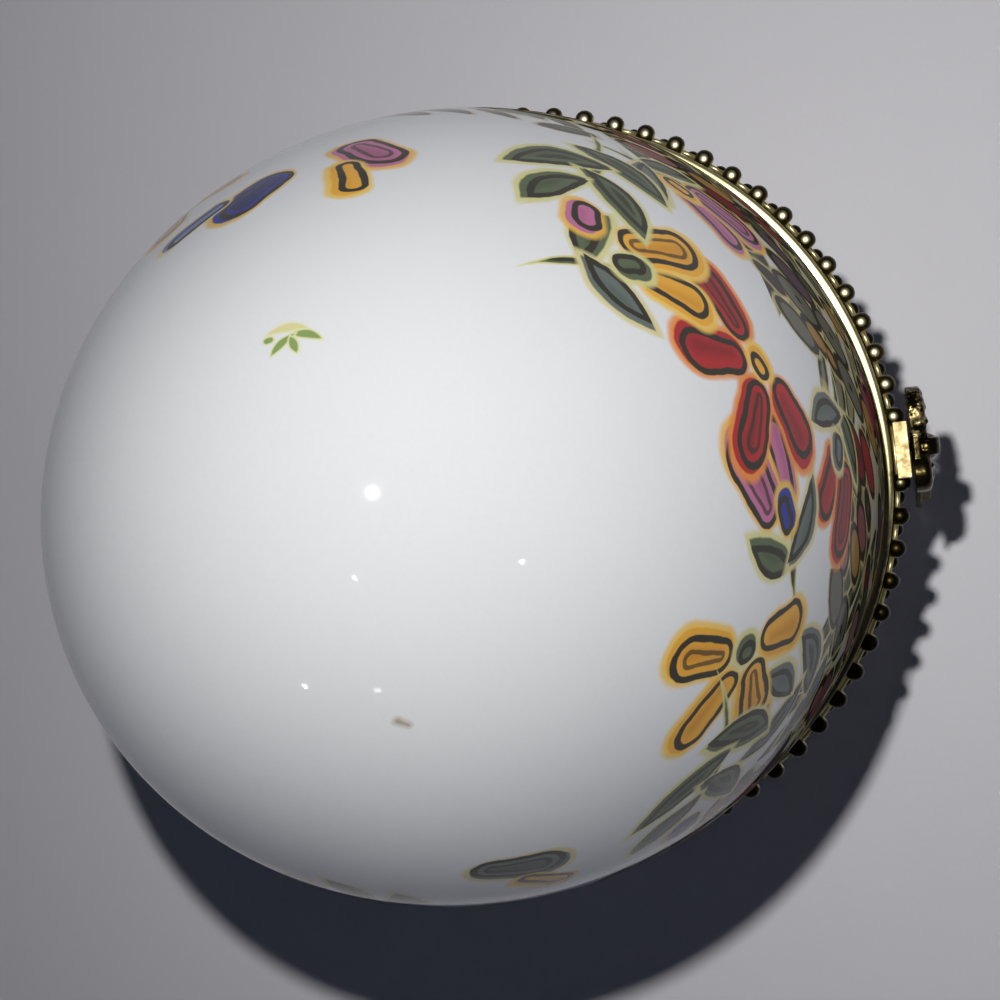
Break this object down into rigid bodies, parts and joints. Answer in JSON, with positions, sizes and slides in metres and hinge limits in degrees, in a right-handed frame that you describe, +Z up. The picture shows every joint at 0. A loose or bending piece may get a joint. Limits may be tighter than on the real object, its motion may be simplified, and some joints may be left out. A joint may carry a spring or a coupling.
{
  "type": "egg trinket box",
  "caption": "Upright egg-shaped porcelain trinket box on a flat foot, with a hinged lid, beaded brass mounts and a bow clasp.",
  "frame": {"origin": "centre of the flat foot, on the surface that the box stands on", "axes": "+Z up the egg to the top of the lid, -Y to the clasp, +Y to the hinge, +X to the right seen from the clasp"},
  "size_m": [0.0706, 0.0753, 0.1043],
  "materials": {
    "porcelain": "white glazed porcelain with painted flower sprays, unglazed only under the foot",
    "polished_brass": "polished gilt brass",
    "cast_brass": "cast gilt brass, granular in the recesses",
    "pin_wire": "drawn wire"
  },
  "bodies": {
    "base": {"base_shell": "porcelain", "base_collar": "polished_brass", "base_bead_wire": "polished_brass", "base_hinge_leaf": "polished_brass", "hinge_pin": "pin_wire", "catch_stud": "cast_brass"},
    "lid": {"lid_shell": "porcelain", "lid_collar": "polished_brass", "lid_bead_wire": "polished_brass", "lid_hinge_leaf": "polished_brass", "clasp_lug": "cast_brass", "clasp_bow": "cast_brass"}
  },
  "joints": [
    {"name": "lid_hinge", "type": "hinge", "parent": "base", "child": "lid", "pos_m": [0, 0.03585, 0.047], "axis": [-1, 0, 0], "range_deg": [0, 100]}
  ]
}
